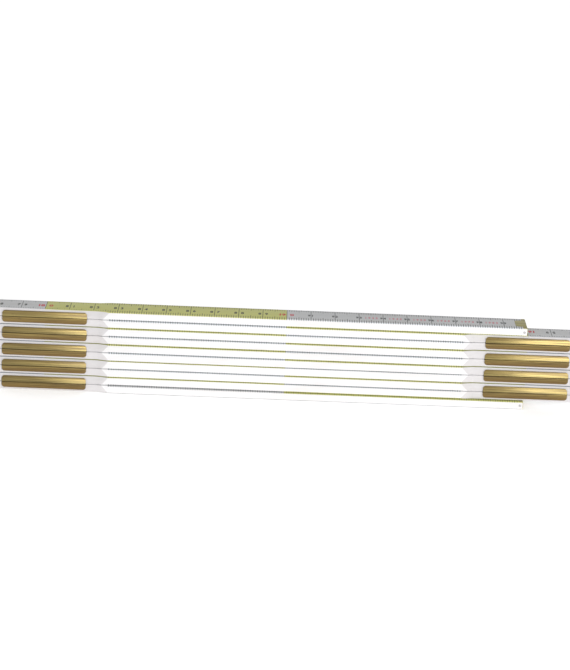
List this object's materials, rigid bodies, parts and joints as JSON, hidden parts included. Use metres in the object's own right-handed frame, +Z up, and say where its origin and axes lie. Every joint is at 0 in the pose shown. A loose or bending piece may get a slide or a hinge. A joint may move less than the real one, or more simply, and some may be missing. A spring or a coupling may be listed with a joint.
{
  "type": "folding rule",
  "caption": "Two metre folding carpenter's rule: flat lacquered wooden blades that open in a zigzag on concealed brass-plated spring joints, with a centimetre scale.",
  "frame": {"origin": "on the resting face of the lowest blade, midway between the two rows of pivots and midway across the blades", "axes": "+X along the folded blades towards the end with the two free blade ends, +Y across the blades' width, +Z up through the stack, parallel to every pivot"},
  "size_m": [0.241, 0.016, 0.0349],
  "materials": {
    "lacquered_wood": "white lacquer, satin, with printed scale",
    "brass_plate": "brushed brass plating",
    "cap_brass": "dull brass plating",
    "joint_steel": "plain steel"
  },
  "bodies": {
    "link_01": {"blade_01": "lacquered_wood", "upper_plate_01": "brass_plate", "detent_spring_01": "joint_steel", "end_cap_01": "cap_brass", "end_pin_01": "joint_steel"},
    "link_02": {"blade_02": "lacquered_wood", "upper_plate_02": "brass_plate", "detent_spring_02": "joint_steel", "lower_plate_01": "brass_plate", "rivet_01": "joint_steel"},
    "link_03": {"blade_03": "lacquered_wood", "upper_plate_03": "brass_plate", "detent_spring_03": "joint_steel", "lower_plate_02": "brass_plate", "rivet_02": "joint_steel"},
    "link_04": {"blade_04": "lacquered_wood", "upper_plate_04": "brass_plate", "detent_spring_04": "joint_steel", "lower_plate_03": "brass_plate", "rivet_03": "joint_steel"},
    "link_05": {"blade_05": "lacquered_wood", "upper_plate_05": "brass_plate", "detent_spring_05": "joint_steel", "lower_plate_04": "brass_plate", "rivet_04": "joint_steel"},
    "link_06": {"blade_06": "lacquered_wood", "upper_plate_06": "brass_plate", "detent_spring_06": "joint_steel", "lower_plate_05": "brass_plate", "rivet_05": "joint_steel"},
    "link_07": {"blade_07": "lacquered_wood", "upper_plate_07": "brass_plate", "detent_spring_07": "joint_steel", "lower_plate_06": "brass_plate", "rivet_06": "joint_steel"},
    "link_08": {"blade_08": "lacquered_wood", "upper_plate_08": "brass_plate", "detent_spring_08": "joint_steel", "lower_plate_07": "brass_plate", "rivet_07": "joint_steel"},
    "link_09": {"blade_09": "lacquered_wood", "upper_plate_09": "brass_plate", "detent_spring_09": "joint_steel", "lower_plate_08": "brass_plate", "rivet_08": "joint_steel"},
    "link_10": {"blade_10": "lacquered_wood", "lower_plate_09": "brass_plate", "rivet_09": "joint_steel", "end_cap_10": "cap_brass", "end_pin_10": "joint_steel"}
  },
  "joints": [
    {"name": "pivot_09", "type": "hinge", "parent": "link_10", "child": "link_09", "pos_m": [-0.1, 0, 0.00343], "axis": [0, 0, 1], "range_deg": [-180, 180]},
    {"name": "pivot_08", "type": "hinge", "parent": "link_09", "child": "link_08", "pos_m": [0.1, 0, 0.00692], "axis": [0, 0, 1], "range_deg": [-180, 180]},
    {"name": "pivot_07", "type": "hinge", "parent": "link_08", "child": "link_07", "pos_m": [-0.1, 0, 0.01043], "axis": [0, 0, 1], "range_deg": [-180, 180]},
    {"name": "pivot_06", "type": "hinge", "parent": "link_07", "child": "link_06", "pos_m": [0.1, 0, 0.01392], "axis": [0, 0, 1], "range_deg": [-180, 180]},
    {"name": "pivot_05", "type": "hinge", "parent": "link_06", "child": "link_05", "pos_m": [-0.1, 0, 0.01742], "axis": [0, 0, 1], "range_deg": [-180, 180]},
    {"name": "pivot_04", "type": "hinge", "parent": "link_05", "child": "link_04", "pos_m": [0.1, 0, 0.02092], "axis": [0, 0, 1], "range_deg": [-180, 180]},
    {"name": "pivot_03", "type": "hinge", "parent": "link_04", "child": "link_03", "pos_m": [-0.1, 0, 0.02442], "axis": [0, 0, 1], "range_deg": [-180, 180]},
    {"name": "pivot_02", "type": "hinge", "parent": "link_03", "child": "link_02", "pos_m": [0.1, 0, 0.02792], "axis": [0, 0, 1], "range_deg": [-180, 180]},
    {"name": "pivot_01", "type": "hinge", "parent": "link_02", "child": "link_01", "pos_m": [-0.1, 0, 0.03143], "axis": [0, 0, 1], "range_deg": [-180, 180]}
  ]
}
